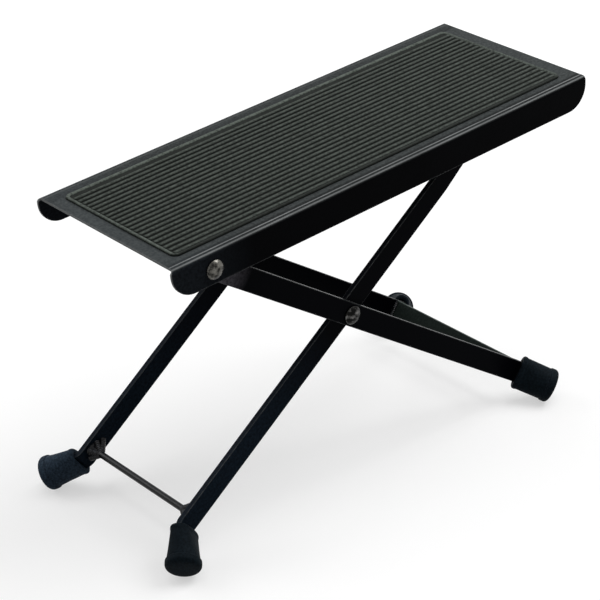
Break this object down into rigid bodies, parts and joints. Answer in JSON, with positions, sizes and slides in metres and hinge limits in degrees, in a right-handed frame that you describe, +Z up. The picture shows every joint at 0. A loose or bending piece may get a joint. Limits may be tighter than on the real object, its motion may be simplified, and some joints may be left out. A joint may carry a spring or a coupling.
{
  "type": "guitar footrest",
  "caption": "Folding, height-adjustable footrest: a steel footplate with a ribbed rubber mat on a scissor frame of flat strip with rubber feet.",
  "frame": {"origin": "On the floor, under the middle of the footrest's outer box as it stands open in the second notch from the highest.", "axes": "+X along the footplate towards its latched end, +Y across it, +Z up"},
  "size_m": [0.2948, 0.1398, 0.1875],
  "materials": {
    "plate_paint": "satin black enamel on folded sheet steel",
    "frame_paint": "semi-gloss black enamel on steel strip and rod",
    "mat_rubber": "matt black ribbed rubber sheet",
    "foot_rubber": "matt moulded black rubber",
    "rivet_nickel": "nickel-plated, slightly dulled",
    "rivet_dark": "dark nickel-plated",
    "washer_steel": "plain zinc-plated steel",
    "spacer_nylon": "black nylon"
  },
  "bodies": {
    "outer_frame": {"outer_leg_front": "frame_paint", "outer_leg_rear": "frame_paint", "outer_foot_front": "foot_rubber", "outer_foot_rear": "foot_rubber", "outer_cross_brace": "frame_paint", "centre_rivet_front": "rivet_dark", "centre_rivet_rear": "rivet_dark", "pivot_washer_front": "washer_steel", "pivot_washer_rear": "washer_steel"},
    "inner_frame": {"inner_leg_front": "frame_paint", "inner_leg_rear": "frame_paint", "inner_foot_front": "foot_rubber", "inner_foot_rear": "foot_rubber", "latch_rod": "frame_paint", "lower_cross_rod": "frame_paint"},
    "platform": {"top_plate": "plate_paint", "tread_mat": "mat_rubber", "height_rack": "frame_paint", "flange_rivet_front": "rivet_nickel", "flange_rivet_rear": "rivet_nickel", "flange_spacer_front": "spacer_nylon", "flange_spacer_rear": "spacer_nylon"}
  },
  "joints": [
    {"name": "leg_fold", "type": "hinge", "parent": "outer_frame", "child": "inner_frame", "pos_m": [-0.01645, 0, 0.10037], "axis": [0, 1, 0], "range_deg": [-10.9, 68]},
    {"name": "platform_follow", "type": "hinge", "parent": "outer_frame", "child": "platform", "pos_m": [-0.10736, 0, 0.1623], "axis": [0, 1, 0], "range_deg": [-5.5, 34.1]}
  ],
  "couplings": [
    {"joint": "platform_follow", "follows": "leg_fold", "ratio": 0.5}
  ]
}
